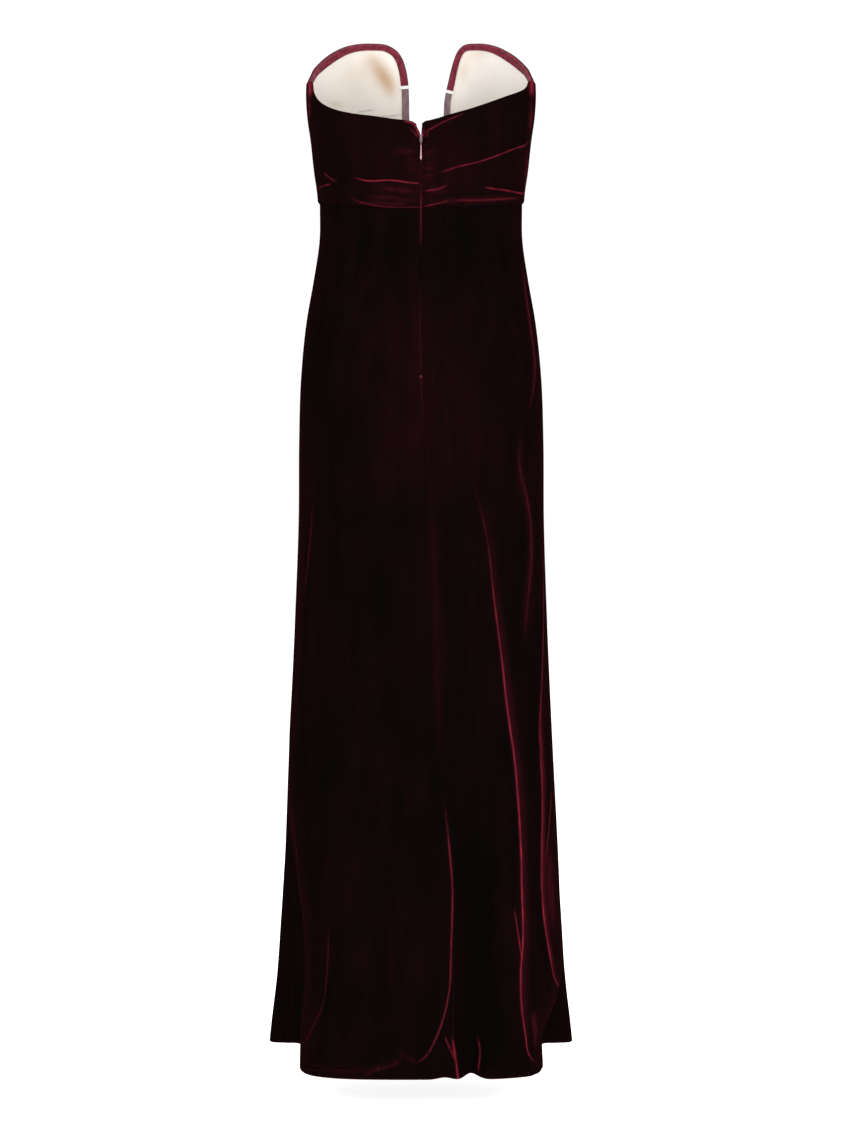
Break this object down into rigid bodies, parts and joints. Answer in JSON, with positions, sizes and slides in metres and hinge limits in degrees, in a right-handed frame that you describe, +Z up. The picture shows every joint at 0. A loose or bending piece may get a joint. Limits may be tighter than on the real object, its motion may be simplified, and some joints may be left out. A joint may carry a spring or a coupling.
{
  "type": "strapless bustier evening gown",
  "caption": "Strapless bustier gown in dark wine velvet, filled out as worn: plunging cups, gathered bodice, back zip and a long narrow skirt that flares at the hem.",
  "frame": {"origin": "centre of the wearer's waist, level with the waist seam", "axes": "+Z up to the bust, +Y towards the wearer's front, +X towards the wearer's right"},
  "size_m": [0.4112, 0.3161, 1.3904],
  "materials": {
    "wine_velvet": "deep wine velvet, near black in shade, red sheen along the folds",
    "cream_lining": "smooth matt cream lining",
    "burgundy_facing": "burgundy facing, soft satin sheen",
    "mauve_casing": "mauve-grey woven casing tape",
    "white_tab": "plain white woven tab",
    "wine_tape": "dark wine woven zip tape",
    "painted_slider": "mauve-grey painted metal",
    "painted_pull": "pinkish mauve painted metal"
  },
  "bodies": {
    "gown": {"skirt_back_left": "wine_velvet", "skirt_back_right": "wine_velvet", "skirt_front": "wine_velvet", "bodice_back_left": "wine_velvet", "bodice_back_right": "wine_velvet", "bodice_front_left": "wine_velvet", "bodice_front_right": "wine_velvet", "cup_lining_left": "cream_lining", "cup_lining_right": "cream_lining", "edge_facing_left": "burgundy_facing", "edge_facing_right": "burgundy_facing", "notch_casing_left": "mauve_casing", "notch_casing_right": "mauve_casing", "tab_left": "white_tab", "tab_right": "white_tab", "zip_tape": "wine_tape", "zip_slider": "painted_slider"},
    "zip_pull": {"zip_pull": "painted_pull"}
  },
  "joints": [
    {"name": "zip_pull_swing", "type": "hinge", "parent": "gown", "child": "zip_pull", "pos_m": [0, -0.10364, 0.0712], "axis": [-1, 0, 0], "range_deg": [0, 150]}
  ]
}
